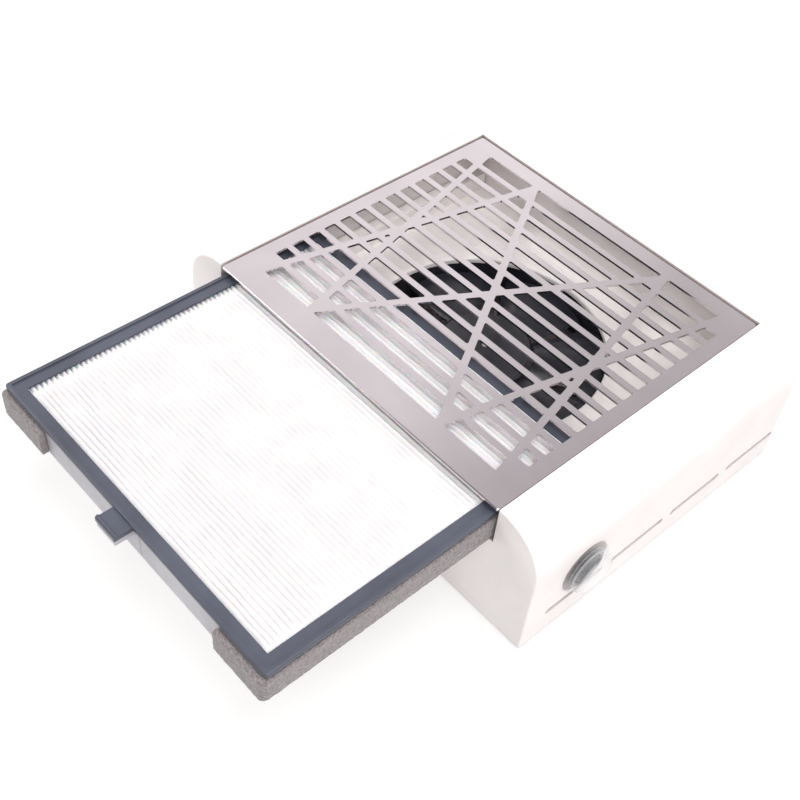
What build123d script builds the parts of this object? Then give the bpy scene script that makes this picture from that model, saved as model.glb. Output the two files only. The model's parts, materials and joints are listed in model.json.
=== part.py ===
"""Table-top nail dust collector: a low white casing with a steel grille over a fan.

The filter cartridge slides in through a slot in the front wall, between the grille and
the fan deck.  It stands pulled out by filter_pull, and pushes in until it is flush.

Frame: origin on the table under the centre of the casing, +X towards the side wall that
carries the switch, -Y towards the user, +Z up.  All sizes are in millimetres.
"""

from build123d import *
from math import atan2, cos, degrees, hypot, radians, sin
import os

os.makedirs("parts", exist_ok=True)

# ---------------------------------------------------------------- driving dimensions
case_width = 256.0
case_depth = 198.0
case_height = 80.0
shoulder_radius = 26.0
wall = 2.5
shell_bottom = 1.0

plate_width = 200.0
plate_depth = 188.5
plate_top = 79.0
plate_thickness = 1.2
plate_hem_depth = 2.5

bay_half_width = 100.8
bay_rear = 90.3
slot_floor = 56.7
deck_top = 45.5
deck_thickness = 3.0

filter_width = 196.4
filter_depth = 188.5
filter_bottom = 57.0
filter_top = 74.8
filter_pull = 124.5

fan_size = 140.0
fan_depth = 25.0
fan_screw_pitch = 124.5
fan_centre_y = -1.5
fan_opening_radius = 65.0

switch_y = -61.5
switch_z = 34.4
switch_hole_radius = 10.2

jack_x = 92.0
jack_z = 30.0

vent_length = 40.0
vent_height = 3.8
vent_pitch = 46.0
vent_first_y = -64.0
vent_z = 16.6
vent_count = 4

# ---------------------------------------------------------------- derived dimensions
half_width = case_width / 2
half_depth = case_depth / 2
front = -half_depth
inner_half_width = half_width - wall
inner_half_depth = half_depth - wall
ledge_top = plate_top - plate_hem_depth
ledge_thickness = 1.4
ledge_width = 4.0
fan_top = deck_top - deck_thickness
fan_bottom = fan_top - fan_depth
filter_front = front - filter_pull
filter_rear = filter_front + filter_depth
plate_rear = front + plate_depth
plate_centre_y = front + plate_depth / 2
bay_wall = 2.0
base_boss_x = 108.0
base_boss_y = 90.0
base_boss_radius = 4.0
deck_boss_x = 108.0
deck_boss_y = 83.0
deck_boss_radius = 3.5
deck_boss_top = 58.0
pilot_radius = 1.5
shank_radius = 1.4

EVERY_CORNER = [(1, 1), (1, -1), (-1, 1), (-1, -1)]


def case_profile(inset, bottom):
    """Upright cross-section of the casing, drawn inset from its outer skin."""
    half = half_width - inset
    top = case_height - inset
    radius = shoulder_radius - inset
    with BuildSketch() as profile:
        with BuildLine():
            Polyline((half, top - radius), (half, bottom), (-half, bottom), (-half, top - radius))
            RadiusArc((-half, top - radius), (-half + radius, top), radius)
            Line((-half + radius, top), (half - radius, top))
            RadiusArc((half - radius, top), (half, top - radius), radius)
        make_face()
    return profile.sketch


def slab(low, high, mode=Mode.ADD):
    """Puts a box between two corners into the sub-part that is being built."""
    centre = tuple((a + b) / 2 for a, b in zip(low, high))
    size = [abs(b - a) for a, b in zip(low, high)]
    with Locations(centre):
        Box(*size, mode=mode)


def pan_screw(head_bottom, head_top, tip, head_radius, radius):
    """A screw that points up, with a domed head below and its tip above."""
    with BuildPart() as screw:
        with BuildSketch(Plane.XZ):
            with BuildLine():
                Line((0, head_bottom), (head_radius * 0.55, head_bottom))
                ThreePointArc(
                    (head_radius * 0.55, head_bottom),
                    (head_radius * 0.88, head_bottom + (head_top - head_bottom) * 0.35),
                    (head_radius, head_top),
                )
                Polyline(
                    (head_radius, head_top),
                    (radius, head_top),
                    (radius, tip - radius),
                    (0, tip),
                    (0, head_bottom),
                )
            make_face()
        revolve(axis=Axis.Z)
        with BuildSketch(Plane.XY.offset(head_bottom)):
            Rectangle(head_radius * 1.0, head_radius * 0.24)
            Rectangle(head_radius * 0.24, head_radius * 1.0)
        extrude(amount=(head_top - head_bottom) * 0.5, mode=Mode.SUBTRACT)
    return screw.part


# ================================================================ casing
# The white moulded shell: shoulders, walls, a sunk bed for the grille plate, the walls
# of the filter bay and the screw bosses.  It is open underneath.
with BuildPart() as upper_shell:
    with BuildSketch(Plane.XZ):
        add(case_profile(0, shell_bottom))
    extrude(amount=half_depth, both=True)
    rear_outline = upper_shell.faces().sort_by(Axis.Y)[-1].edges().sort_by(Axis.Z)[1:]
    fillet(rear_outline, radius=4.5)
    front_outline = upper_shell.faces().sort_by(Axis.Y)[0].edges().sort_by(Axis.Z)[1:]
    fillet(front_outline, radius=1.0)
    with BuildSketch(Plane.XZ):
        add(case_profile(wall, shell_bottom - 1))
    extrude(amount=inner_half_depth, both=True, mode=Mode.SUBTRACT)

    # bed of the grille plate and the slot that the filter enters by
    slab(
        (-bay_half_width, front - 1, ledge_top),
        (bay_half_width, bay_rear, case_height + 1),
        Mode.SUBTRACT,
    )
    slab(
        (-bay_half_width, front - 1, slot_floor),
        (bay_half_width, front + wall, ledge_top),
        Mode.SUBTRACT,
    )

    # side and rear walls of the filter bay, standing on the fan deck
    for side in (-1, 1):
        slab(
            (side * bay_half_width, -inner_half_depth, deck_top),
            (side * (bay_half_width + bay_wall), bay_rear + bay_wall, case_height - 1),
        )
    slab(
        (-bay_half_width, bay_rear, deck_top),
        (bay_half_width, bay_rear + bay_wall, case_height - 1),
    )

    # ledges that carry the plate's hem
    for side in (-1, 1):
        slab(
            (side * (bay_half_width - ledge_width), front + 6, ledge_top - ledge_thickness),
            (side * bay_half_width, bay_rear, ledge_top),
        )
    slab(
        (-bay_half_width, bay_rear - ledge_width, ledge_top - ledge_thickness),
        (bay_half_width, bay_rear, ledge_top),
    )

    # corner bosses for the base screws, each with a rib to the nearest end wall
    for sx, sy in EVERY_CORNER:
        with BuildSketch(Plane.XY.offset(6.0)):
            with Locations((sx * base_boss_x, sy * base_boss_y)):
                Circle(base_boss_radius)
            with Locations((sx * base_boss_x, sy * (base_boss_y + inner_half_depth) / 2)):
                Rectangle(2.0, inner_half_depth - base_boss_y + 1)
        extrude(amount=22.0)
        with BuildSketch(Plane.XY.offset(6.0)):
            with Locations((sx * base_boss_x, sy * base_boss_y)):
                Circle(pilot_radius)
        extrude(amount=18.0, mode=Mode.SUBTRACT)

    # bosses that the fan deck hangs from, each with a rib to the bay wall
    for sx, sy in EVERY_CORNER:
        with BuildSketch(Plane.XY.offset(deck_top)):
            with Locations((sx * deck_boss_x, sy * deck_boss_y)):
                Circle(deck_boss_radius)
            with Locations((sx * (bay_half_width + bay_wall + deck_boss_x) / 2, sy * deck_boss_y)):
                Rectangle(deck_boss_x - bay_half_width - bay_wall + 1, 2.0)
        extrude(amount=deck_boss_top - deck_top)
        with BuildSketch(Plane.XY.offset(deck_top)):
            with Locations((sx * deck_boss_x, sy * deck_boss_y)):
                Circle(pilot_radius)
        extrude(amount=10.0, mode=Mode.SUBTRACT)

    # exhaust slots in both side walls
    for side in (-1, 1):
        with BuildSketch(Plane.YZ.offset(side * (half_width - wall / 2))):
            for index in range(vent_count):
                with Locations((vent_first_y + index * vent_pitch, vent_z)):
                    SlotOverall(vent_length, vent_height)
        extrude(amount=wall, both=True, mode=Mode.SUBTRACT)

    # hole for the switch in the side wall, and for the power inlet in the rear wall
    with BuildSketch(Plane.YZ.offset(half_width - wall - 1)):
        with Locations((switch_y, switch_z)):
            Circle(switch_hole_radius)
    extrude(amount=wall + 2, mode=Mode.SUBTRACT)
    with BuildSketch(Plane.XZ.offset(-half_depth - 1)):
        with Locations((jack_x, jack_z)):
            Circle(4.1)
    extrude(amount=wall + 2, mode=Mode.SUBTRACT)
upper_shell.part.label = "upper_shell"
export_step(upper_shell.part, "parts/upper_shell.step")

# The deck under the filter bay: it carries the fan, and its rails carry the filter.
deck_half_width = 113.0
deck_half_depth = inner_half_depth - 0.3
rail_inner = 94.0
rail_thickness = 2.0
rail_top = slot_floor - 0.2
deck_underside = deck_top - deck_thickness
with BuildPart() as fan_deck:
    with BuildSketch(Plane.XY.offset(deck_underside)):
        Rectangle(2 * deck_half_width, 2 * deck_half_depth)
        with Locations((0, fan_centre_y)):
            Circle(fan_opening_radius, mode=Mode.SUBTRACT)
        with GridLocations(2 * deck_boss_x, 2 * deck_boss_y, 2, 2):
            Circle(1.8, mode=Mode.SUBTRACT)
    extrude(amount=deck_thickness)
    top_circles = fan_deck.faces().sort_by(Axis.Z)[-1].edges().filter_by(GeomType.CIRCLE)
    fillet(top_circles.sort_by(SortBy.RADIUS)[-1], radius=1.2)
    with BuildSketch(Plane.XY.offset(deck_underside)):
        with Locations((0, fan_centre_y)):
            with GridLocations(fan_screw_pitch, fan_screw_pitch, 2, 2):
                Circle(1.9)
    extrude(amount=deck_thickness - 0.6, mode=Mode.SUBTRACT)
    slab(
        (half_width - 20, switch_y - 11, deck_underside - 1),
        (half_width, switch_y + 11, deck_top + 1),
        Mode.SUBTRACT,
    )
    for side in (-1, 1):
        slab(
            (side * rail_inner, -deck_half_depth, deck_top),
            (side * (rail_inner + rail_thickness), bay_rear - 0.3, rail_top),
        )
        slab(
            (side * rail_inner, -deck_half_depth, rail_top - rail_thickness),
            (side * (bay_half_width - 0.2), bay_rear - 0.3, rail_top),
        )
fan_deck.part.label = "fan_deck"
export_step(fan_deck.part, "parts/fan_deck.step")

# The bottom cover, let into the foot of the shell.  Its rim stands on the table.
base_half_width = inner_half_width - 0.3
base_half_depth = inner_half_depth - 0.3
base_underside = 1.0
base_top = 3.5
foot_x = 98.0
foot_y = 70.0
foot_radius = 9.0
with BuildPart() as base_plate:
    with BuildSketch():
        RectangleRounded(2 * base_half_width, 2 * base_half_depth, 1.5)
        RectangleRounded(2 * base_half_width - 8, 2 * base_half_depth - 8, 1.0, mode=Mode.SUBTRACT)
    extrude(amount=base_top)
    with BuildSketch(Plane.XY.offset(base_underside)):
        RectangleRounded(2 * base_half_width - 7, 2 * base_half_depth - 7, 1.0)
    extrude(amount=base_top - base_underside)
    with BuildSketch(Plane.XY.offset(base_top)):
        with GridLocations(2 * base_boss_x, 2 * base_boss_y, 2, 2):
            Circle(5.0)
    extrude(amount=6.0 - base_top)
    with BuildSketch(Plane.XY.offset(base_underside)):
        with GridLocations(2 * base_boss_x, 2 * base_boss_y, 2, 2):
            Circle(3.9)
    extrude(amount=2.4, mode=Mode.SUBTRACT)
    with BuildSketch(Plane.XY):
        with GridLocations(2 * base_boss_x, 2 * base_boss_y, 2, 2):
            Circle(1.8)
    extrude(amount=8.0, mode=Mode.SUBTRACT)
    with BuildSketch(Plane.XY):
        with GridLocations(2 * foot_x, 2 * foot_y, 2, 2):
            Circle(foot_radius + 0.3)
    extrude(amount=base_underside + 0.8, mode=Mode.SUBTRACT)
base_plate.part.label = "base_plate"
export_step(base_plate.part, "parts/base_plate.step")

# Four rubber discs, bedded in the bottom cover and level with its rim.
with BuildPart() as rubber_feet:
    with BuildSketch():
        with GridLocations(2 * foot_x, 2 * foot_y, 2, 2):
            Circle(foot_radius)
    extrude(amount=base_underside + 0.8)
rubber_feet.part.label = "rubber_feet"
export_step(rubber_feet.part, "parts/rubber_feet.step")

# Four screws hold the bottom cover to the shell.
with BuildPart() as base_screws:
    with GridLocations(2 * base_boss_x, 2 * base_boss_y, 2, 2):
        add(pan_screw(1.3, base_underside + 2.4, 18.0, 3.5, shank_radius))
base_screws.part.label = "base_screws"
export_step(base_screws.part, "parts/base_screws.step")

# Four screws hold the fan deck to the shell.
with BuildPart() as deck_screws:
    with GridLocations(2 * deck_boss_x, 2 * deck_boss_y, 2, 2):
        add(pan_screw(deck_underside - 2.0, deck_underside, deck_top + 8.5, 3.2, shank_radius))
deck_screws.part.label = "deck_screws"
export_step(deck_screws.part, "parts/deck_screws.step")

# ================================================================ grille
# A steel plate cut with rows of long openings.  Six straight braces cross the bars.
field_half_width = 91.5
field_front = front + 15.0
field_rear = front + 178.5
end_row_half_width = 85.5
bar_count = 14
bar_width = 3.6
bar_pitch = 10.85
first_bar_y = front + 26.3
brace_width = 3.85
brace_ends = [(-85.5, -47.5), (-47.5, 47.5), (47.5, 85.5)]
corner_round = 0.9
smallest_opening = 8.0


def brace(x_start, x_end):
    """One straight brace from the front of the field to its rear."""
    run = x_end - x_start
    rise = field_rear - field_front
    return (
        Pos((x_start + x_end) / 2, (field_front + field_rear) / 2)
        * Rot(0, 0, degrees(atan2(rise, run)))
        * Rectangle(hypot(run, rise) + 2 * brace_width, brace_width, mode=Mode.PRIVATE)
    )


def rounded(opening):
    """The same opening with its corners rounded off."""
    with BuildSketch() as shape:
        add(opening)
        offset(amount=-corner_round, mode=Mode.REPLACE)
        offset(amount=corner_round, mode=Mode.REPLACE)
    return shape.sketch


last_bar_y = first_bar_y + (bar_count - 1) * bar_pitch
with BuildSketch() as openings:
    with Locations((0, (first_bar_y + last_bar_y) / 2)):
        Rectangle(2 * field_half_width, last_bar_y - first_bar_y)
    with Locations((0, (field_front + field_rear) / 2)):
        Rectangle(2 * end_row_half_width, field_rear - field_front)
    for index in range(bar_count):
        with Locations((0, first_bar_y + index * bar_pitch)):
            Rectangle(2 * field_half_width + 2, bar_width, mode=Mode.SUBTRACT)
    for left, right in brace_ends:
        add(brace(left, right), mode=Mode.SUBTRACT)
        add(brace(right, left), mode=Mode.SUBTRACT)

with BuildPart() as grille_plate:
    with BuildSketch(Plane.XY.offset(plate_top - plate_thickness)):
        with Locations((0, plate_centre_y)):
            RectangleRounded(plate_width, plate_depth, 1.5)
    extrude(amount=plate_thickness)
    top_outline = grille_plate.faces().sort_by(Axis.Z)[-1].edges()
    fillet(top_outline, radius=0.5)
    for side in (-1, 1):
        slab(
            (side * (plate_width / 2 - plate_thickness), front + 7, ledge_top),
            (side * plate_width / 2, plate_rear - 2, plate_top - plate_thickness),
        )
    slab(
        (-plate_width / 2 + 2, plate_rear - plate_thickness, ledge_top),
        (plate_width / 2 - 2, plate_rear, plate_top - plate_thickness),
    )
    with BuildSketch(Plane.XY.offset(plate_top - plate_thickness - 1)):
        for opening in openings.sketch.faces():
            if opening.area > smallest_opening:
                add(rounded(opening))
    extrude(amount=plate_thickness + 2, mode=Mode.SUBTRACT)
grille_plate.part.label = "grille_plate"
export_step(grille_plate.part, "parts/grille_plate.step")

# ================================================================ filter cartridge
# The cartridge is a grey tray under a dark frame, with pleated paper inside.
frame_flat = 74.0
frame_bottom = 71.2
frame_lip_bottom = 72.6
frame_half_width = filter_width / 2
frame_side = 8.2
frame_front_bar = 7.0
frame_rear_bar = 9.0
window_half_width = frame_half_width - frame_side
window_front = filter_front + frame_front_bar
window_rear = filter_rear - frame_rear_bar
tab_centre_x = -1.0
tab_width = 14.5
tab_length = 9.0
tray_side_gap = 2.5
tray_half_width = frame_half_width - tray_side_gap
tray_front = filter_front + 0.5
tray_rear = filter_rear - 0.5

with BuildPart() as filter_frame:
    with BuildSketch(Plane.XY.offset(frame_bottom)):
        with Locations((0, (filter_front + filter_rear) / 2)):
            Rectangle(filter_width - 2, filter_depth - 2)
    extrude(amount=frame_lip_bottom - frame_bottom)
    with BuildSketch(Plane.XY.offset(frame_lip_bottom)):
        with Locations((0, (filter_front + filter_rear) / 2)):
            RectangleRounded(filter_width, filter_depth, 1.6)
    extrude(amount=filter_top - frame_lip_bottom)
    fillet(filter_frame.faces().sort_by(Axis.Z)[-1].edges(), radius=0.9)
    with BuildSketch(Plane.XY.offset(frame_flat)):
        with Locations((0, (filter_front + filter_rear) / 2)):
            Rectangle(filter_width - 4.8, filter_depth - 4.8)
    extrude(amount=2, mode=Mode.SUBTRACT)
    with BuildSketch(Plane.XY.offset(frame_bottom)):
        with Locations((0, (window_front + window_rear) / 2)):
            Rectangle(2 * window_half_width, window_rear - window_front)
    extrude(amount=5, mode=Mode.SUBTRACT)
    tab_low = tab_centre_x - tab_width / 2
    tab_high = tab_centre_x + tab_width / 2
    slab(
        (tab_low, filter_front - tab_length, frame_bottom),
        (tab_high, filter_front + 1.5, frame_flat - 0.4),
    )
    with BuildSketch(Plane.YZ.offset(tab_low)):
        with Locations((filter_front - tab_length + 1.2, frame_flat - 0.4)):
            Circle(0.9)
    extrude(amount=tab_width)
filter_frame.part.label = "filter_frame"
export_step(filter_frame.part, "parts/filter_frame.step")

# The tray holds the paper and stands on the deck's rails.
tray_lip = 4.0
tray_floor = 1.8
tray_bar_count = 3
with BuildPart() as filter_tray:
    with BuildSketch(Plane.XY.offset(filter_bottom)):
        with Locations((0, (tray_front + tray_rear) / 2)):
            RectangleRounded(2 * tray_half_width, tray_rear - tray_front, 1.2)
        with Locations((0, (window_front + window_rear) / 2)):
            Rectangle(
                2 * (window_half_width - tray_lip),
                window_rear - window_front - 2 * tray_lip,
                mode=Mode.SUBTRACT,
            )
    extrude(amount=frame_bottom - filter_bottom)
    with BuildSketch(Plane.XY.offset(filter_bottom + tray_floor)):
        with Locations((0, (window_front + window_rear) / 2)):
            Rectangle(2 * window_half_width, window_rear - window_front)
    extrude(amount=frame_bottom - filter_bottom, mode=Mode.SUBTRACT)
    bar_step = 2 * window_half_width / (tray_bar_count + 1)
    for index in range(tray_bar_count):
        with BuildSketch(Plane.XY.offset(filter_bottom)):
            with Locations((-window_half_width + (index + 1) * bar_step, (window_front + window_rear) / 2)):
                Rectangle(3.0, window_rear - window_front - tray_lip)
        extrude(amount=tray_floor)
    slab(
        (tab_low + 0.4, filter_front - tab_length + 0.4, frame_bottom - 3.4),
        (tab_high - 0.4, tray_front + 1, frame_bottom),
    )
    seam_x = tab_high + 4.0
    slab(
        (seam_x, tray_front - 1, filter_bottom - 1),
        (seam_x + 0.4, tray_front + 0.4, frame_bottom - 0.5),
        Mode.SUBTRACT,
    )
filter_tray.part.label = "filter_tray"
export_step(filter_tray.part, "parts/filter_tray.step")

# Pleated paper, as the block of space that its pleats fill.
pleat_top = 73.2
with BuildPart() as filter_media:
    with BuildSketch(Plane.XY.offset(filter_bottom + tray_floor)):
        with Locations((0, (window_front + window_rear) / 2)):
            Rectangle(2 * window_half_width, window_rear - window_front)
    extrude(amount=pleat_top - filter_bottom - tray_floor)
filter_media.part.label = "filter_media"
export_step(filter_media.part, "parts/filter_media.step")

# A foam strip along each side of the tray, turned round its front corner.
foam_thickness = 3.5
foam_bottom = 57.3
foam_top = 71.0
foam_rear = filter_rear - 1.5
foam_front_ends = [("left", -1, 64.0), ("right", 1, 66.0)]
for name, side, front_end in foam_front_ends:
    outer = tray_half_width + foam_thickness
    with BuildPart() as foam_seal:
        with BuildSketch(Plane.XY.offset(foam_bottom)):
            with BuildLine():
                FilletPolyline(
                    (side * front_end, tray_front - foam_thickness),
                    (side * outer, tray_front - foam_thickness),
                    (side * outer, foam_rear),
                    radius=3.0,
                )
                Polyline(
                    (side * outer, foam_rear),
                    (side * tray_half_width, foam_rear),
                    (side * tray_half_width, tray_front),
                    (side * front_end, tray_front),
                    (side * front_end, tray_front - foam_thickness),
                )
            make_face()
            with Locations((0, (tray_front + tray_rear) / 2)):
                RectangleRounded(2 * tray_half_width, tray_rear - tray_front, 1.2, mode=Mode.SUBTRACT)
        extrude(amount=foam_top - foam_bottom)
    foam_seal.part.label = f"foam_seal_{name}"
    export_step(foam_seal.part, f"parts/foam_seal_{name}.step")

# ================================================================ fan
fan_radius = fan_size / 2
fan_bore_radius = 66.5
fan_flange = 4.0
hub_radius = 27.0
hub_top = fan_top - 1.0
hub_bottom = fan_bottom + 5.0
blade_count = 7
blade_tip_radius = 64.8
strut_count = 4
tube_radius = 5.0
bearing_radius = 4.0
shaft_radius = 1.5
at_fan = Location((0, fan_centre_y, 0))

with BuildPart() as fan_frame:
    with BuildSketch(Plane.XY.offset(fan_bottom)):
        with Locations(at_fan):
            RectangleRounded(fan_size, fan_size, 6.0)
            with GridLocations(fan_screw_pitch, fan_screw_pitch, 2, 2):
                Circle(2.2, mode=Mode.SUBTRACT)
    extrude(amount=fan_depth)
    with BuildSketch(Plane.XY.offset(fan_bottom + fan_flange)):
        with Locations(at_fan):
            Rectangle(fan_size + 2, fan_size + 2)
            Circle(fan_radius - 1.0, mode=Mode.SUBTRACT)
    extrude(amount=fan_depth - 2 * fan_flange, mode=Mode.SUBTRACT)
    with BuildSketch(Plane.XY.offset(fan_bottom)):
        with Locations(at_fan):
            Circle(fan_bore_radius)
    extrude(amount=fan_depth, mode=Mode.SUBTRACT)
    with BuildSketch(Plane.XY.offset(fan_bottom)):
        with Locations(at_fan):
            Circle(25.0)
            with PolarLocations(0, strut_count, start_angle=30):
                with Locations((fan_bore_radius / 2 + 1, 0)):
                    Rectangle(fan_bore_radius + 2, 5.0)
    extrude(amount=3.0)
    with BuildSketch(Plane.XY.offset(fan_bottom)):
        with Locations(at_fan):
            Circle(tube_radius)
    extrude(amount=20.0)
    with BuildSketch(Plane.XY.offset(fan_bottom + 1.5)):
        with Locations(at_fan):
            Circle(bearing_radius)
    extrude(amount=20.0, mode=Mode.SUBTRACT)
fan_frame.part.label = "fan_frame"
export_step(fan_frame.part, "parts/fan_frame.step")


def blade_section(radius, chord, pitch, camber, thickness):
    """A thin cambered blade section on the upright plane at this distance from the axis."""
    middle = (hub_top + hub_bottom) / 2 - 0.2
    plane = Plane(origin=(radius, 0, middle), x_dir=(0, 1, 0), z_dir=(1, 0, 0))
    with BuildSketch(plane.rotated((0, 0, -pitch))) as section:
        with BuildLine():
            ThreePointArc((-chord / 2, 0), (0, camber), (chord / 2, 0))
            ThreePointArc((chord / 2, 0), (0, camber + thickness), (-chord / 2, 0))
        make_face()
    return section.sketch


with BuildPart() as one_blade:
    root_section = blade_section(hub_radius - 7, 26.0, 40.0, 1.8, 1.8)
    tip_section = blade_section(blade_tip_radius + 4, 60.0, 17.0, 2.6, 1.6)
    add(loft(Sketch() + [root_section, tip_section], ruled=True, mode=Mode.PRIVATE))
    with BuildSketch(Plane.XY.offset(hub_bottom - 10)):
        Circle(blade_tip_radius)
        Circle(hub_radius - 0.8, mode=Mode.SUBTRACT)
    extrude(amount=60, mode=Mode.INTERSECT)

with BuildPart() as fan_rotor:
    with BuildSketch(Plane.XZ):
        with BuildLine() as cup_outline:
            Polyline(
                (shaft_radius, hub_top),
                (hub_radius - 2.5, hub_top),
                (hub_radius, hub_top - 2.5),
                (hub_radius, hub_bottom),
                (hub_radius - 1.5, hub_bottom),
                (hub_radius - 1.5, hub_top - 2.5),
                (4.0, hub_top - 2.5),
                (4.0, hub_top - 3.4),
                (shaft_radius, hub_top - 3.4),
                (shaft_radius, hub_top),
            )
        make_face()
    revolve(axis=Axis.Z)
    with PolarLocations(0, blade_count):
        add(one_blade.part)
fan_rotor.part = at_fan * fan_rotor.part
fan_rotor.part.label = "fan_rotor"
export_step(fan_rotor.part, "parts/fan_rotor.step")


def ring(inner, outer, low, high):
    """An upright ring round the fan's axis."""
    with BuildPart() as piece:
        with BuildSketch(Plane.XY.offset(low)):
            with Locations(at_fan):
                Circle(outer)
                Circle(inner, mode=Mode.SUBTRACT)
        extrude(amount=high - low)
    return piece.part


# Ring magnet, pressed into the hub of the rotor.
with BuildPart() as fan_magnet:
    add(ring(hub_radius - 3.6, hub_radius - 1.5, hub_bottom + 1, hub_top - 4.5))
fan_magnet.part.label = "fan_magnet"
export_step(fan_magnet.part, "parts/fan_magnet.step")

# Steel shaft, pressed into the hub and running in two sleeve bearings.
shaft_bottom = fan_bottom + 2.5
with BuildPart() as fan_shaft:
    with BuildSketch(Plane.XY.offset(shaft_bottom)):
        with Locations(at_fan):
            Circle(shaft_radius)
    extrude(amount=hub_top - shaft_bottom)
fan_shaft.part.label = "fan_shaft"
export_step(fan_shaft.part, "parts/fan_shaft.step")

bearing_clearance = 0.05
bearing_length = 6.0
bearing_bottoms = [("lower", fan_bottom + 3.0), ("upper", fan_bottom + 13.0)]
for name, low in bearing_bottoms:
    with BuildPart() as fan_bearing:
        add(ring(shaft_radius + bearing_clearance, bearing_radius, low, low + bearing_length))
    fan_bearing.part.label = f"fan_bearing_{name}"
    export_step(fan_bearing.part, f"parts/fan_bearing_{name}.step")

# Round circuit board on the hub plate of the frame.
with BuildPart() as fan_board:
    add(ring(tube_radius + 0.2, 22.0, fan_bottom + 3.0, fan_bottom + 4.4))
fan_board.part.label = "fan_board"
export_step(fan_board.part, "parts/fan_board.step")

# Laminated stator with four poles, held on the bearing tube.
pole_count = 4
stator_bottom = fan_bottom + 9.0
stator_top = fan_bottom + 14.0
stator_middle = (stator_bottom + stator_top) / 2
pole_width = 6.0
with BuildPart() as fan_stator:
    with BuildSketch(Plane.XY.offset(stator_bottom)):
        with Locations(at_fan):
            Circle(22.6)
            Circle(20.6, mode=Mode.SUBTRACT)
            with PolarLocations(0, pole_count, start_angle=45):
                with Locations((22, 0)):
                    Rectangle(8.0, 6.0, mode=Mode.SUBTRACT)
            Circle(8.5)
            with PolarLocations(0, pole_count):
                with Locations((14, 0)):
                    Rectangle(14.5, pole_width)
            Circle(tube_radius, mode=Mode.SUBTRACT)
    extrude(amount=stator_top - stator_bottom)
fan_stator.part.label = "fan_stator"
export_step(fan_stator.part, "parts/fan_stator.step")

# One copper winding round each pole.
with BuildPart() as fan_coils:
    for index in range(pole_count):
        at_pole = at_fan * Rot(0, 0, index * 360 / pole_count) * Pos(14.3, 0, stator_middle)
        with Locations(at_pole):
            Box(9.6, pole_width + 5, stator_top - stator_bottom + 4)
            Box(12, pole_width, stator_top - stator_bottom, mode=Mode.SUBTRACT)
fan_coils.part.label = "fan_coils"
export_step(fan_coils.part, "parts/fan_coils.step")

# Four screws fasten the fan to the deck from below.
with BuildPart() as fan_screws:
    with Locations(at_fan):
        with GridLocations(fan_screw_pitch, fan_screw_pitch, 2, 2):
            add(pan_screw(fan_bottom - 2.2, fan_bottom, deck_top - 0.9, 3.6, 1.75))
fan_screws.part.label = "fan_screws"
export_step(fan_screws.part, "parts/fan_screws.step")

# ================================================================ switch
# A round rocker switch, in the side wall, under a clear splash cap.
bezel_radius = 11.4
bezel_face = half_width + 2.2
well_radius = 8.9
switch_barrel_radius = 10.0
switch_barrel_end = half_width - 17.0
well_floor = half_width - 8.0
rocker_tilt = 7.0
rocker_pivot_x = half_width - 3.0
rocker_pin_radius = 1.0
across_pins = Plane(origin=(rocker_pivot_x, switch_y, switch_z), z_dir=(0, 1, 0))


def across_wall(x):
    """Upright plane at x, facing away from the casing, centred on the switch."""
    return Plane(origin=(x, switch_y, switch_z), x_dir=(0, 1, 0), z_dir=(1, 0, 0))


with BuildPart() as switch_body:
    with BuildSketch(across_wall(switch_barrel_end)):
        Circle(switch_barrel_radius)
    extrude(amount=half_width - switch_barrel_end)
    with BuildSketch(across_wall(half_width)):
        Circle(bezel_radius)
    extrude(amount=bezel_face - half_width)
    fillet(switch_body.faces().sort_by(Axis.X)[-1].edges(), radius=1.2)
    with BuildSketch(across_wall(well_floor)):
        Circle(well_radius)
    extrude(amount=20, mode=Mode.SUBTRACT)
    with BuildSketch(across_wall(switch_barrel_end)):
        with Locations((-4.0, 0), (4.0, 0)):
            Rectangle(1.0, 5.0)
    extrude(amount=4.0, mode=Mode.SUBTRACT)
    with BuildSketch(across_pins):
        Circle(rocker_pin_radius + 0.05)
    extrude(amount=switch_barrel_radius - 0.3, both=True, mode=Mode.SUBTRACT)
switch_body.part.label = "switch_body"
export_step(switch_body.part, "parts/switch_body.step")

# The rocker stands tipped to "off"; its pin line runs along Y.
tipped = Plane(
    origin=(rocker_pivot_x, switch_y, switch_z),
    x_dir=(0, 1, 0),
    z_dir=(cos(radians(rocker_tilt)), 0, sin(radians(rocker_tilt))),
)
rocker_radius = 8.2
rocker_height = 5.6
rocker_foot = 2.0
rocker_dish_radius = 36.0
rocker_dish_bottom = 4.2
with BuildPart() as switch_rocker:
    with BuildSketch(tipped.offset(-rocker_foot)):
        Circle(rocker_radius)
    extrude(amount=rocker_height + rocker_foot)
    dish = tipped.offset(rocker_dish_bottom + rocker_dish_radius)
    with BuildSketch(Plane(origin=dish.origin, x_dir=dish.z_dir, z_dir=dish.x_dir)):
        Circle(rocker_dish_radius)
    extrude(amount=2 * rocker_radius, both=True, mode=Mode.SUBTRACT)
    with BuildSketch(across_pins):
        Circle(rocker_pin_radius)
    extrude(amount=switch_barrel_radius - 0.5, both=True)
switch_rocker.part.label = "switch_rocker"
export_step(switch_rocker.part, "parts/switch_rocker.step")

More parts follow.
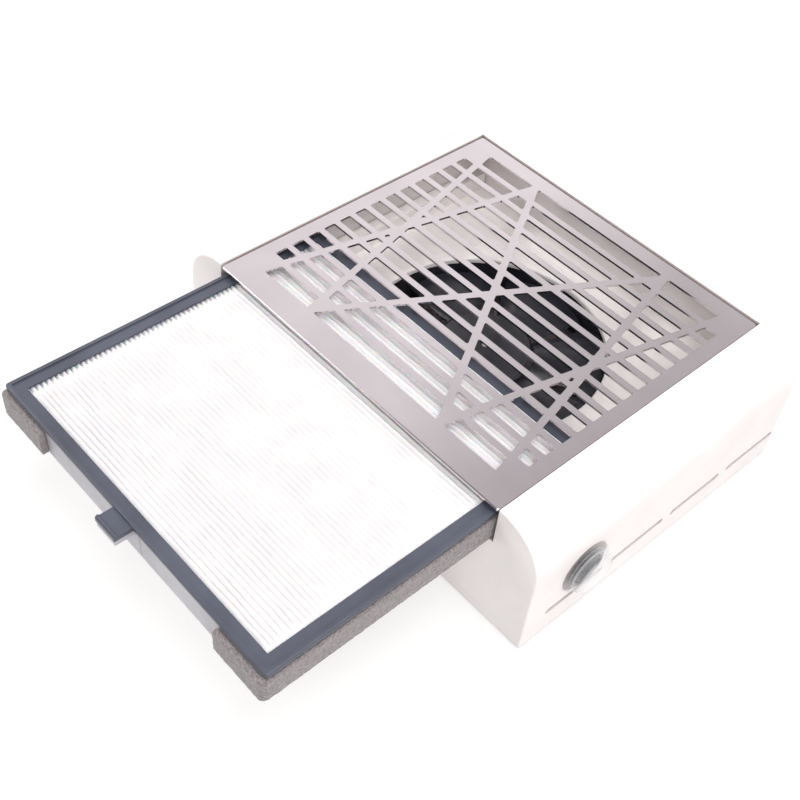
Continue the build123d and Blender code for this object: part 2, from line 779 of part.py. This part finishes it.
# Clear moulded cap: a flat collar on the wall, a step, and a flared dome.
collar_radius = 14.6
cap_step_radius = 13.2
cap_waist_radius = 11.7
cap_rim_radius = 12.0
cap_wall = 0.9
bezel_room_radius = bezel_radius + 0.5
cap_face = half_width + 7.2
with BuildPart() as switch_cap:
    with BuildSketch(Plane(origin=(0, switch_y, switch_z), x_dir=(1, 0, 0), z_dir=(0, -1, 0))):
        with BuildLine():
            Polyline(
                (half_width, bezel_room_radius),
                (half_width, collar_radius),
                (half_width + 1.4, collar_radius),
                (half_width + 2.0, collar_radius - 0.6),
                (half_width + 2.0, cap_step_radius),
                (half_width + 3.4, cap_step_radius - 0.5),
                (half_width + 3.8, cap_waist_radius),
                (cap_face - 1.1, cap_rim_radius),
                (cap_face, cap_rim_radius - 0.6),
                (cap_face, 0),
                (cap_face - cap_wall, 0),
                (cap_face - cap_wall, cap_rim_radius - 1.1),
                (half_width + 3.2, cap_waist_radius - cap_wall),
                (half_width + 2.8, bezel_room_radius),
                (half_width, bezel_room_radius),
            )
        make_face()
    revolve(axis=Axis((0, switch_y, switch_z), (1, 0, 0)))
switch_cap.part.label = "switch_cap"
export_step(switch_cap.part, "parts/switch_cap.step")

# Two brass tags at the back of the switch.
with BuildPart() as switch_terminals:
    with BuildSketch(across_wall(switch_barrel_end - 6.0)):
        with Locations((-4.0, 0), (4.0, 0)):
            Rectangle(0.8, 4.8)
    extrude(amount=9.0)
switch_terminals.part.label = "switch_terminals"
export_step(switch_terminals.part, "parts/switch_terminals.step")

# ================================================================ power inlet
# A low-voltage socket in the rear wall, held by a nut on the inside.
jack_flange_face = half_depth + 1.6
jack_inner_end = half_depth - 14.0
jack_socket_radius = 2.8


def across_rear(y):
    """Upright plane at y, facing away from the casing, centred on the inlet."""
    return Plane(origin=(jack_x, y, jack_z), x_dir=(-1, 0, 0), z_dir=(0, 1, 0))


with BuildPart() as jack_body:
    with BuildSketch(across_rear(jack_inner_end)):
        Circle(3.95)
    extrude(amount=half_depth - jack_inner_end)
    with BuildSketch(across_rear(half_depth)):
        Circle(5.6)
    extrude(amount=jack_flange_face - half_depth)
    fillet(jack_body.faces().sort_by(Axis.Y)[-1].edges(), radius=0.6)
    with BuildSketch(across_rear(half_depth - 9.0)):
        Circle(jack_socket_radius)
    extrude(amount=20, mode=Mode.SUBTRACT)
    with BuildSketch(across_rear(jack_inner_end)):
        Circle(1.05)
        with Locations((0, 2.6)):
            Rectangle(2.2, 0.6)
    extrude(amount=6, mode=Mode.SUBTRACT)
jack_body.part.label = "jack_body"
export_step(jack_body.part, "parts/jack_body.step")

with BuildPart() as jack_pin:
    with BuildSketch(across_rear(jack_inner_end - 3.0)):
        Circle(1.0)
    extrude(amount=14.5)
    fillet(jack_pin.faces().sort_by(Axis.Y)[-1].edges(), radius=0.5)
jack_pin.part.label = "jack_pin"
export_step(jack_pin.part, "parts/jack_pin.step")

with BuildPart() as jack_tag:
    with BuildSketch(across_rear(jack_inner_end - 3.0)):
        with Locations((0, 2.6)):
            Rectangle(2.0, 0.5)
    extrude(amount=6.0)
jack_tag.part.label = "jack_tag"
export_step(jack_tag.part, "parts/jack_tag.step")

with BuildPart() as jack_nut:
    with BuildSketch(across_rear(inner_half_depth - 2.2)):
        RegularPolygon(6.2, 6)
        Circle(4.05, mode=Mode.SUBTRACT)
    extrude(amount=2.2)
jack_nut.part.label = "jack_nut"
export_step(jack_nut.part, "parts/jack_nut.step")

# ================================================================ leads
# Insulated leads run between the inlet, the switch and the fan.
lead_radius = 0.9
tag_end = switch_barrel_end - 6.0
lead_routes = {
    "inlet_switch_lead": [
        (jack_x, jack_inner_end - 3.0, jack_z),
        (jack_x, jack_inner_end - 17.0, jack_z),
        (jack_x - 6, 36.0, jack_z - 3),
        (jack_x - 5, -12.0, jack_z - 2),
        (jack_x - 4, switch_y + 12.0, switch_z - 1),
        (tag_end - 9, switch_y + 4.0, switch_z),
        (tag_end, switch_y + 4.0, switch_z),
    ],
    "switch_fan_lead": [
        (tag_end, switch_y - 4.0, switch_z),
        (tag_end - 12, switch_y - 4.0, switch_z),
        (76.0, switch_y + 4.0, 28.0),
        (74.0, -40.0, 15.0),
        (60.0, -28.0, 12.0),
        (40.0, -16.0, 13.0),
        (20.0, -6.0, fan_bottom - lead_radius),
    ],
    "inlet_fan_lead": [
        (jack_x, jack_inner_end - 3.0, jack_z + 2.6),
        (jack_x, jack_inner_end - 14.0, jack_z + 2.6),
        (78.0, 50.0, 25.0),
        (76.0, 28.0, 13.0),
        (60.0, 14.0, 11.0),
        (40.0, 7.0, 13.0),
        (20.0, 4.0, fan_bottom - lead_radius),
    ],
}
for name, route in lead_routes.items():
    with BuildPart() as lead:
        with BuildLine() as path:
            FilletPolyline(*route, radius=5.0)
        with BuildSketch(Plane(origin=path.line @ 0, z_dir=path.line % 0)):
            Circle(lead_radius)
        sweep(path=path.line)
    lead.part.label = name
    export_step(lead.part, f"parts/{name}.step")
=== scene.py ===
import json
from math import cos, radians, sin

import bmesh
import bpy
from mathutils import Matrix, Vector, noise


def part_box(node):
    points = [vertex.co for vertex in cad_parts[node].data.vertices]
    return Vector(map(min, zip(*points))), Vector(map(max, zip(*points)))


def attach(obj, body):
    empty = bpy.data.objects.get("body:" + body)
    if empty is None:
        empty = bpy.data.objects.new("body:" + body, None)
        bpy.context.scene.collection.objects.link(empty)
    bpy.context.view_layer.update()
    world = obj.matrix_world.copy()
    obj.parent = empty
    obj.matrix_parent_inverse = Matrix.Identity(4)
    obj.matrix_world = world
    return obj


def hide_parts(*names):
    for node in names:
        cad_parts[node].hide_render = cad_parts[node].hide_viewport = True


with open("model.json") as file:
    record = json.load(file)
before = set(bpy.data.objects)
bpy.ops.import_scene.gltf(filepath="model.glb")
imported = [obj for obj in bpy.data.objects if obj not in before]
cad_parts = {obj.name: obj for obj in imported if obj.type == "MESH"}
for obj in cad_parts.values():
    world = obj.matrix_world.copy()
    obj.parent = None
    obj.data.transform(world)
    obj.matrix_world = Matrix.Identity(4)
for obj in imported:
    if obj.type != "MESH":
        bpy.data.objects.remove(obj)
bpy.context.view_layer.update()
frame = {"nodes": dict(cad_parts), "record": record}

MM = 0.001

# A colour Mix node's factor, first and second colour inputs, and its colour output.
COLOUR_MIX_INPUTS = (0, 6, 7)
COLOUR_MIX_OUTPUT = 2

# Camera: where it stands, in metres, how it is turned, in degrees, and its lens and sensor.
CAMERA_PLACE = (0.285905, -0.363241, 0.489506)
CAMERA_AZIMUTH = 43.53
CAMERA_ELEVATION = 47.35
CAMERA_ROLL = 6.08
CAMERA_LENS_MM = 53.978
CAMERA_SENSOR_MM = 36

# Pleated paper: folds along Y, flattened within PLEAT_RUNOUT of the sides, where they are glued.
PLEAT_PITCH = 2.65 * MM
PLEAT_DEPTH = 5.0 * MM
PLEAT_RUNOUT = 7 * MM
GLUED_DEPTH = 0.2
SHEET_DROP = 1.4 * MM
POINTS_PER_PLEAT = 12
PLEAT_COLUMN = 3.0 * MM

# Unevenness of the crests: how far each kind goes, and its lumps per metre along X and Y.
# The lean changes from fold to fold instead of along Y.
CREST_SETTLE = 0.25 * MM
SETTLE_LUMPS = (30, 30)
CREST_WANDER = 0.35 * MM
WANDER_LUMPS = (45, 160)
CREST_LEAN = 0.25 * MM
LEAN_LUMPS = 90
LEAN_PER_FOLD = 0.7

# Foam strips: lumps per metre with their share of the roughness, and how far the skin is drawn in.
FOAM_VOXEL = 0.8 * MM
FOAM_ROUGHNESS = 0.28 * MM
FOAM_LUMPS = ((900, 0.6), (260, 0.6))
FOAM_SINK = 0.4
FOAM_SMOOTHING = 3

# Studio. Dome brightness along each axis of a direction: (how far along the axis, brightness).
SKY_STOPS = {
    "X": ((-0.465, 1.0), (-0.435, 0.84), (-0.35, 0.64), (0.1, 0.56), (0.5, 1.3)),
    "Y": ((-0.6, 0.32), (0.2, 1.0)),
    "Z": ((0.1, 0.8), (0.5, 1.25), (0.66, 1.04), (0.8, 0.92), (0.9, 0.25)),
}
SKY_COLOUR = (1.0, 0.985, 0.985, 1.0)
BACKDROP = "#FDFCFC"

# Lamps: name, place, point aimed at, disc size in metres, power in watts.
LAMPS = (
    ("key", (0.30, -0.12, 1.45), (0, 0, 0), 0.9, 13),
    ("camera_fill", (0.62, -0.72, 1.12), (0, 0, 0.03), 0.7, 5),
    ("left_fill", (-1.0, -0.8, 0.9), (0, 0, 0.04), 0.8, 7),
)

# Floor: a sheet just under the feet.
FLOOR_HALF = 4.0
FLOOR_DROP = 0.2 * MM
FLOOR_GLOW = 0.66


# ---------------------------------------------------------------- materials

def tint(code):
    """A colour written as #RRGGBB, as the linear values that shaders use."""
    parts = [int(code[i:i + 2], 16) / 255 for i in (1, 3, 5)]
    linear = [p / 12.92 if p <= 0.04045 else ((p + 0.055) / 1.055) ** 2.4 for p in parts]
    return (*linear, 1.0)


class Surface:
    """One node material round a principled shader, with its detail in object space, in metres."""

    def __init__(self, name, **settings):
        self.material = bpy.data.materials.new(name)
        self.material.use_nodes = True
        self.tree = self.material.node_tree
        self.shader = self.tree.nodes["Principled BSDF"]
        for socket, value in settings.items():
            self.shader.inputs[socket.replace("_", " ")].default_value = value
        self.place = self.node("ShaderNodeTexCoord").outputs["Object"]

    def node(self, kind, links=None, **settings):
        made = self.tree.nodes.new(kind)
        for name, value in settings.items():
            setattr(made, name, value)
        for socket, source in (links or {}).items():
            if isinstance(source, bpy.types.NodeSocket):
                self.tree.links.new(source, made.inputs[socket])
            else:
                made.inputs[socket].default_value = source
        return made

    def stretched(self, scale, turn=0.0):
        """The place, scaled by a different amount along each axis and turned about Z."""
        sockets = {"Vector": self.place, "Scale": scale, "Rotation": (0, 0, radians(turn))}
        return self.node("ShaderNodeMapping", sockets).outputs["Vector"]

    def noise(self, size, detail=3.0, stretch=(1, 1, 1), turn=0.0):
        """Noise whose lumps are about size metres across."""
        place = self.stretched(stretch, turn)
        sockets = {"Vector": place, "Scale": 1 / size, "Detail": detail, "Roughness": 0.55}
        return self.node("ShaderNodeTexNoise", sockets).outputs["Fac"]

    def cells(self, size, feature="F1"):
        """Distance from the centres, or from the edges, of cells about size metres across."""
        sockets = {"Vector": self.place, "Scale": 1 / size}
        return self.node("ShaderNodeTexVoronoi", sockets, feature=feature).outputs["Distance"]

    def rings(self, size, across="X"):
        """Fine turned or drawn lines across one axis."""
        sockets = {"Vector": self.place, "Scale": 1 / size, "Distortion": 1.5, "Detail": 2.0}
        return self.node("ShaderNodeTexWave", sockets, bands_direction=across).outputs["Fac"]

    def colour(self, factor, low, high, start=0.35, end=0.65):
        """Base colour from low to high as factor goes from start to end."""
        ramp = self.node("ShaderNodeValToRGB", {"Fac": factor})
        ramp.color_ramp.elements[0].position = start
        ramp.color_ramp.elements[0].color = tint(low)
        ramp.color_ramp.elements[1].position = end
        ramp.color_ramp.elements[1].color = tint(high)
        self.tree.links.new(ramp.outputs["Color"], self.shader.inputs["Base Color"])
        return self

    def roughness(self, factor, low, high):
        sockets = {"Value": factor, "From Min": 0.3, "From Max": 0.7, "To Min": low, "To Max": high}
        spread = self.node("ShaderNodeMapRange", sockets).outputs["Result"]
        self.tree.links.new(spread, self.shader.inputs["Roughness"])
        return self

    def painted_crevice_shade(self, shade, reach):
        """Paints shade into the base colour in gaps and inside corners narrower than about reach
        metres: painted shade, set by an ambient occlusion node.
        """
        base = self.shader.inputs["Base Color"]
        sockets = {"Color": base.links[0].from_socket, "Distance": reach}
        openness = self.node("ShaderNodeAmbientOcclusion", sockets, samples=6).outputs["AO"]
        sockets = {"Value": openness, "From Min": 0.15, "From Max": 0.75}
        factor = self.node("ShaderNodeMapRange", sockets).outputs["Result"]
        mixed = self.node("ShaderNodeMix", data_type="RGBA")
        factor_in, shade_in, unshaded_in = (mixed.inputs[index] for index in COLOUR_MIX_INPUTS)
        shade_in.default_value = tint(shade)
        self.tree.links.new(factor, factor_in)
        self.tree.links.new(base.links[0].from_socket, unshaded_in)
        self.tree.links.new(mixed.outputs[COLOUR_MIX_OUTPUT], base)
        return self

    def bump(self, height, depth, strength=1.0):
        """Adds relief depth metres high on top of any that is there already."""
        normal = self.shader.inputs["Normal"]
        sockets = {"Height": height, "Distance": depth, "Strength": strength}
        if normal.is_linked:
            sockets["Normal"] = normal.links[0].from_socket
        made = self.node("ShaderNodeBump", sockets)
        self.tree.links.new(made.outputs["Normal"], normal)
        return self


def moulded(name, low, high, gloss, texture=0.03 * MM, **settings):
    """Moulded plastic: an even satin texture, slow colour drift and a slightly uneven gloss."""
    surface = Surface(name, IOR=1.48, **settings)
    surface.colour(surface.noise(30 * MM, 4.0), low, high)
    surface.roughness(surface.noise(7 * MM, 5.0), *gloss)
    surface.bump(surface.noise(0.6 * MM, 2.0), texture, 0.5)
    surface.bump(surface.noise(14 * MM, 1.0), 0.12 * MM, 0.25)
    return surface


def metal(name, low, high, gloss, grain=(1, 1, 1), texture=0.01 * MM, **settings):
    """Bare metal with its grain stretched along the axes where grain is small."""
    surface = Surface(name, Metallic=1.0, **settings)
    surface.colour(surface.noise(6 * MM, 4.0, grain), low, high)
    surface.roughness(surface.noise(2 * MM, 5.0, grain), *gloss)
    surface.bump(surface.noise(0.8 * MM, 3.0, grain), texture, 0.4)
    return surface


def white_plastic():
    """Satin white with painted shade in its slots and tight corners."""
    surface = moulded("casing white", "#EAE4E3", "#F0EAE9", (0.34, 0.44), 0.02 * MM)
    # Painted shade: the base colour turns brown-grey where ambient occlusion finds slots, gaps and
    # inside corners within 5 mm.
    surface.painted_crevice_shade("#8C7A74", 5 * MM)
    surface.shader.inputs["Subsurface Weight"].default_value = 0.08
    surface.shader.inputs["Subsurface Scale"].default_value = 2 * MM
    return surface


def deck_plastic():
    return moulded("deck white", "#F9F3F1", "#FCF8F6", (0.38, 0.52), 0.03 * MM)


def steel_plate():
    """Polished sheet: an almost even mirror with faint rolling lines and a slow waviness."""
    surface = Surface("polished steel", Metallic=1.0)
    surface.colour(surface.noise(40 * MM, 2.0), "#D4CCD0", "#DBD3D7")
    surface.roughness(surface.noise(5 * MM, 6.0, (0.25, 1, 1)), 0.09, 0.14)
    surface.bump(surface.noise(0.5 * MM, 3.0, (0.1, 1, 1)), 0.002 * MM, 0.3)
    surface.bump(surface.noise(70 * MM, 1.0), 0.10 * MM, 0.25)
    return surface


def slate_plastic():
    return moulded("slate frame", "#464854", "#515461", (0.30, 0.42), 0.04 * MM)


def tray_plastic():
    return moulded("tray grey", "#A9A7AD", "#BCBAC0", (0.36, 0.50), 0.04 * MM)


def black_plastic():
    return moulded("black plastic", "#222228", "#313139", (0.14, 0.26), 0.02 * MM)


def dark_rocker():
    return moulded("rocker", "#23232B", "#33333C", (0.22, 0.34), 0.02 * MM)


def clear_cap():
    """Moulded clear plastic: see-through face on, whitish where it is seen edge on, a painted sheen
    in place of the reflection at its rims.
    """
    surface = Surface("clear cap", IOR=1.45)
    surface.colour(surface.noise(5 * MM, 2.0), "#F2F2F5", "#FCFCFD")
    surface.roughness(surface.noise(3 * MM, 4.0), 0.04, 0.10)
    surface.bump(surface.noise(4 * MM, 2.0), 0.05 * MM, 0.4)
    # Painted highlight: the white cap grows more opaque, and so whiter, as its surface turns edge on
    # to the view.
    edge = surface.node("ShaderNodeLayerWeight", {"Blend": 0.3}).outputs["Facing"]
    sockets = {"Value": edge, "To Min": 0.03, "To Max": 0.55}
    body = surface.node("ShaderNodeMapRange", sockets).outputs["Result"]
    surface.tree.links.new(body, surface.shader.inputs["Alpha"])
    return surface


def foot_rubber():
    return moulded("foot rubber", "#202022", "#2E2E31", (0.65, 0.85), 0.08 * MM)


def screw_steel():
    return metal("screw steel", "#8E8C8A", "#B4B1AE", (0.25, 0.42))


def shaft_steel():
    return metal("ground shaft", "#B9B8B6", "#D2D0CE", (0.12, 0.22), (1, 1, 0.1))


def core_steel():
    surface = metal("core sheets", "#6E7076", "#8D9096", (0.35, 0.50))
    surface.bump(surface.rings(1.0 * MM, "Z"), 0.06 * MM, 0.6)
    return surface


def magnet():
    return metal("magnet", "#3C3B3E", "#57555A", (0.40, 0.60), texture=0.04 * MM)


def bearing_bronze():
    return metal("sintered bronze", "#8A6A3E", "#A98552", (0.38, 0.55), texture=0.05 * MM)


def brass():
    return metal("brass", "#B99B56", "#D6B974", (0.22, 0.38), (0.2, 1, 1))


def copper():
    surface = metal("enamelled copper", "#8C4A26", "#B86B3C", (0.22, 0.34), Coat_Weight=0.6)
    surface.bump(surface.rings(0.7 * MM, "Z"), 0.12 * MM, 0.8)
    return surface


def board_green():
    surface = moulded("circuit board", "#1F4A33", "#2C6244", (0.25, 0.40), 0.03 * MM)
    surface.bump(surface.cells(3.5 * MM, "DISTANCE_TO_EDGE"), 0.04 * MM, 0.5)
    return surface


def lead(name, low, high):
    return moulded(name, low, high, (0.38, 0.52), 0.03 * MM)


def lead_red():
    return lead("red lead", "#5A1714", "#6E201C")


def lead_black():
    return lead("black lead", "#18181A", "#26262A")


def filter_paper():
    """Soft white non-woven paper: felted fibres, with light passing a little way into it."""
    surface = Surface("filter paper", IOR=1.4, Sheen_Weight=0.15, Specular_IOR_Level=0.25)
    surface.colour(surface.noise(18 * MM, 5.0), "#EFECED", "#F5F2F3")
    surface.roughness(surface.noise(1.5 * MM, 4.0), 0.82, 0.98)
    surface.bump(surface.noise(0.35 * MM, 4.0, (1, 0.35, 1), 20), 0.05 * MM, 0.5)
    surface.bump(surface.noise(0.5 * MM, 4.0, (0.3, 1, 1), -35), 0.05 * MM, 0.5)
    surface.shader.inputs["Subsurface Weight"].default_value = 0.25
    surface.shader.inputs["Subsurface Scale"].default_value = 1.5 * MM
    return surface


def grey_foam():
    """Open-cell foam: small pores, fuzzy edges, a mottled colour."""
    surface = Surface("grey foam", IOR=1.4, Sheen_Weight=0.35, Specular_IOR_Level=0.2)
    mottle = surface.noise(1.2 * MM, 6.0)
    surface.colour(mottle, "#6E6768", "#9A9293", 0.3, 0.7)
    surface.roughness(surface.noise(1 * MM, 3.0), 0.88, 1.0)
    surface.bump(surface.cells(0.7 * MM), 0.35 * MM, 0.9)
    surface.bump(mottle, 0.3 * MM, 0.6)
    return surface


RECIPES = {
    "white_plastic": white_plastic,
    "deck_plastic": deck_plastic,
    "steel_plate": steel_plate,
    "slate_plastic": slate_plastic,
    "tray_plastic": tray_plastic,
    "black_plastic": black_plastic,
    "dark_rocker": dark_rocker,
    "clear_cap": clear_cap,
    "foot_rubber": foot_rubber,
    "screw_steel": screw_steel,
    "shaft_steel": shaft_steel,
    "core_steel": core_steel,
    "magnet": magnet,
    "bearing_bronze": bearing_bronze,
    "brass": brass,
    "copper": copper,
    "board_green": board_green,
    "lead_red": lead_red,
    "lead_black": lead_black,
    "filter_paper": filter_paper,
    "grey_foam": grey_foam,
}
MATERIALS = {slot: recipe().material for slot, recipe in RECIPES.items()}


def dress_frame():
    """Every CAD node gets the material of its slot in the record."""
    for part in frame["record"]["subparts"]:
        for place in frame["nodes"][part["node"]].material_slots:
            place.material = MATERIALS[part["material_slot"]]


# ---------------------------------------------------------------- soft pieces

def finish_piece(name, mesh, body, slot, *replaced):
    """Puts a new mesh in the scene on its body, in place of the CAD nodes it stands for."""
    piece = bpy.data.objects.new(name, mesh)
    bpy.context.scene.collection.objects.link(piece)
    mesh.materials.append(MATERIALS[slot])
    for face in mesh.polygons:
        face.use_smooth = True
    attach(piece, body)
    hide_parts(*replaced)
    return piece


def pleated_media():
    """The paper, folded to and fro along Y, as a closed sheet with uneven rounded crests."""
    low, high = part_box("filter_media")
    crest = high.z
    pleats = round((high.y - low.y) / PLEAT_PITCH)
    rows = pleats * POINTS_PER_PLEAT + 1
    columns = round((high.x - low.x) / PLEAT_COLUMN) + 1
    mesh = bmesh.new()

    def uneven(across, along, layer):
        return noise.noise(Vector((across, along, layer)))

    def place(row, column, drop):
        x = low.x + (high.x - low.x) * column / (columns - 1)
        along = pleats * row / (rows - 1)
        y = low.y + (high.y - low.y) * along / pleats
        phase = abs((along % 1.0) - 0.5) * 2
        fold = 1 - (1 - phase) ** 2
        wander = uneven(x * WANDER_LUMPS[0], y * WANDER_LUMPS[1], 3.0) * CREST_WANDER
        lean = uneven(x * LEAN_LUMPS, round(along) * LEAN_PER_FOLD, 9.0) * CREST_LEAN
        settle = (1 + uneven(x * SETTLE_LUMPS[0], y * SETTLE_LUMPS[1], 5.0)) * CREST_SETTLE
        inside = min(1.0, along, pleats - along)
        glued = min(1.0, GLUED_DEPTH + min(x - low.x, high.x - x) / PLEAT_RUNOUT)
        valley = PLEAT_DEPTH * (1 - fold) * glued
        return Vector((x, y + (wander + lean) * inside, crest - drop - valley - settle * fold))

    def sheet(drop):
        return [[mesh.verts.new(place(r, c, drop)) for c in range(columns)] for r in range(rows)]

    def side(upper_edge, lower_edge):
        for i in range(len(upper_edge) - 1):
            mesh.faces.new((upper_edge[i], upper_edge[i + 1], lower_edge[i + 1], lower_edge[i]))

    upper = sheet(0.0)
    lower = sheet(SHEET_DROP)
    for r in range(rows - 1):
        for c in range(columns - 1):
            mesh.faces.new((upper[r][c], upper[r][c + 1], upper[r + 1][c + 1], upper[r + 1][c]))
            mesh.faces.new((lower[r][c], lower[r + 1][c], lower[r + 1][c + 1], lower[r][c + 1]))
    for end in (0, -1):
        side([row[end] for row in upper], [row[end] for row in lower])
        side(upper[end], lower[end])
    bmesh.ops.recalc_face_normals(mesh, faces=mesh.faces)
    data = bpy.data.meshes.new("pleated_media")
    mesh.to_mesh(data)
    mesh.free()
    return finish_piece("pleated_media", data, "filter_cartridge", "filter_paper", "filter_media")


def foam_strip(name, node):
    """A foam strip of the CAD strip's size, remeshed fine, with a soft uneven skin."""
    source = bpy.data.objects.new(name + "_source", frame["nodes"][node].data.copy())
    bpy.context.scene.collection.objects.link(source)
    grid = source.modifiers.new("grid", "REMESH")
    grid.mode = "VOXEL"
    grid.voxel_size = FOAM_VOXEL
    soften = source.modifiers.new("soften", "SMOOTH")
    soften.iterations = FOAM_SMOOTHING
    evaluated = source.evaluated_get(bpy.context.evaluated_depsgraph_get())
    data = bpy.data.meshes.new_from_object(evaluated)
    data.name = name
    data.materials.clear()
    bpy.data.objects.remove(source)
    for vertex in data.vertices:
        point = vertex.co
        lumps = sum(noise.noise(point * per_metre) * share for per_metre, share in FOAM_LUMPS)
        vertex.co = point + vertex.normal * (lumps - FOAM_SINK) * FOAM_ROUGHNESS
    piece = finish_piece(name, data, "filter_cartridge", "grey_foam", node)
    return piece


# ---------------------------------------------------------------- studio

def floor():
    data = bpy.data.meshes.new("studio_floor")
    signs = ((-1, -1), (1, -1), (1, 1), (-1, 1))
    corners = [(x * FLOOR_HALF, y * FLOOR_HALF, -FLOOR_DROP) for x, y in signs]
    data.from_pydata(corners, [], [(0, 1, 2, 3)])
    surface = Surface("floor", Emission_Strength=FLOOR_GLOW, Specular_IOR_Level=0.1)
    surface.shader.inputs["Emission Color"].default_value = (1.0, 0.995, 0.99, 1.0)
    surface.colour(surface.noise(0.6, 2.0), "#989796", "#9E9D9C")
    surface.roughness(surface.noise(0.2, 2.0), 0.85, 0.95)
    data.materials.append(surface.material)
    plane = bpy.data.objects.new("studio_floor", data)
    bpy.context.scene.collection.objects.link(plane)


def brightness_along(tree, direction, stops):
    """A ramp of brightness over one coordinate of the direction."""
    shift = tree.nodes.new("ShaderNodeMapRange")
    shift.inputs["From Min"].default_value = -1.0
    tree.links.new(direction, shift.inputs["Value"])
    ramp = tree.nodes.new("ShaderNodeValToRGB")
    tree.links.new(shift.outputs["Result"], ramp.inputs["Fac"])
    elements = ramp.color_ramp.elements
    while len(elements) < len(stops):
        elements.new(0.5)
    for element, (along, value) in zip(elements, stops):
        element.position = (along + 1) / 2
        element.color = (value, value, value, 1.0)
    return ramp.outputs["Color"]


def sky():
    """A soft dome that lights the object and shows in the steel, before a plain pale backdrop."""
    world = bpy.data.worlds.new("studio")
    bpy.context.scene.world = world
    world.use_nodes = True
    tree = world.node_tree
    coordinate = tree.nodes.new("ShaderNodeTexCoord")
    split = tree.nodes.new("ShaderNodeSeparateXYZ")
    tree.links.new(coordinate.outputs["Generated"], split.inputs["Vector"])
    strength = None
    for axis, stops in SKY_STOPS.items():
        brightness = brightness_along(tree, split.outputs[axis], stops)
        if strength is None:
            strength = brightness
            continue
        product = tree.nodes.new("ShaderNodeMath")
        product.operation = "MULTIPLY"
        tree.links.new(strength, product.inputs[0])
        tree.links.new(brightness, product.inputs[1])
        strength = product.outputs["Value"]
    dome = tree.nodes["Background"]
    dome.inputs["Color"].default_value = SKY_COLOUR
    tree.links.new(strength, dome.inputs["Strength"])
    backdrop = tree.nodes.new("ShaderNodeBackground")
    backdrop.inputs["Color"].default_value = tint(BACKDROP)
    seen = tree.nodes.new("ShaderNodeMixShader")
    tree.links.new(tree.nodes.new("ShaderNodeLightPath").outputs["Is Camera Ray"], seen.inputs["Fac"])
    tree.links.new(dome.outputs["Background"], seen.inputs[1])
    tree.links.new(backdrop.outputs["Background"], seen.inputs[2])
    tree.links.new(seen.outputs["Shader"], tree.nodes["World Output"].inputs["Surface"])


def area_light(name, place, aim, size, power):
    data = bpy.data.lights.new(name, "AREA")
    data.shape = "DISK"
    data.size = size
    data.energy = power
    lamp = bpy.data.objects.new(name, data)
    lamp.location = place
    lamp.rotation_euler = (Vector(aim) - Vector(place)).to_track_quat("-Z", "Y").to_euler()
    bpy.context.scene.collection.objects.link(lamp)


def camera():
    azimuth, elevation, roll = (radians(v) for v in (CAMERA_AZIMUTH, CAMERA_ELEVATION, CAMERA_ROLL))
    back = Vector((sin(azimuth) * cos(elevation), -cos(azimuth) * cos(elevation), sin(elevation)))
    right = Vector((cos(azimuth), sin(azimuth), 0))
    up = back.cross(right)
    across = cos(roll) * right + sin(roll) * up
    upright = -sin(roll) * right + cos(roll) * up
    data = bpy.data.cameras.new("camera")
    data.lens = CAMERA_LENS_MM
    data.sensor_width = CAMERA_SENSOR_MM
    data.clip_start = 0.01
    data.clip_end = 20
    shot = bpy.data.objects.new("camera", data)
    turn = Matrix((across, upright, back)).transposed().to_4x4()
    shot.matrix_world = Matrix.Translation(CAMERA_PLACE) @ turn
    bpy.context.scene.collection.objects.link(shot)
    bpy.context.scene.camera = shot


dress_frame()
pleated_media()
foam_strip("foam_left", "foam_seal_left")
foam_strip("foam_right", "foam_seal_right")
floor()
sky()
for lamp in LAMPS:
    area_light(*lamp)
camera()
bpy.context.scene.view_settings.view_transform = "Standard"
